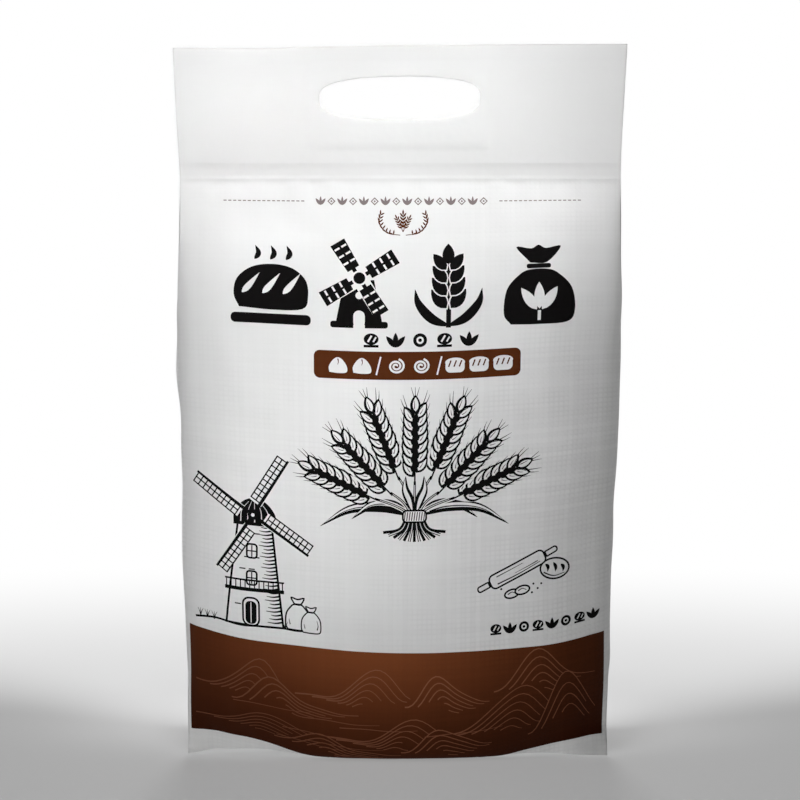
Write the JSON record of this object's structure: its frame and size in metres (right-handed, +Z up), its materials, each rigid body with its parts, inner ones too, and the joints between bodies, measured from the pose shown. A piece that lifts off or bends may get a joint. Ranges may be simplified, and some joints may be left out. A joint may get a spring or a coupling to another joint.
{
  "type": "bag of whole wheat flour",
  "caption": "Upright filled flour bag of white woven film: stuffed gusseted body with a printed band round its foot, welded shoulders and a flat hand band with an oblong hand hole.",
  "frame": {"origin": "middle of the bag's foot, on the surface it stands on", "axes": "+Z up towards the hand band, +X to the right seen from the front, and the printed front faces -Y"},
  "size_m": [0.25, 0.084, 0.391],
  "materials": {
    "woven_film": "white woven polypropylene tape under a matte film, with a faint weave showing through",
    "black_print": "matte black ink under the film",
    "brown_print": "dark brown ink under the film",
    "grey_print": "warm grey ink under the film"
  },
  "bodies": {
    "root": {"bag": "woven_film"}
  },
  "joints": []
}
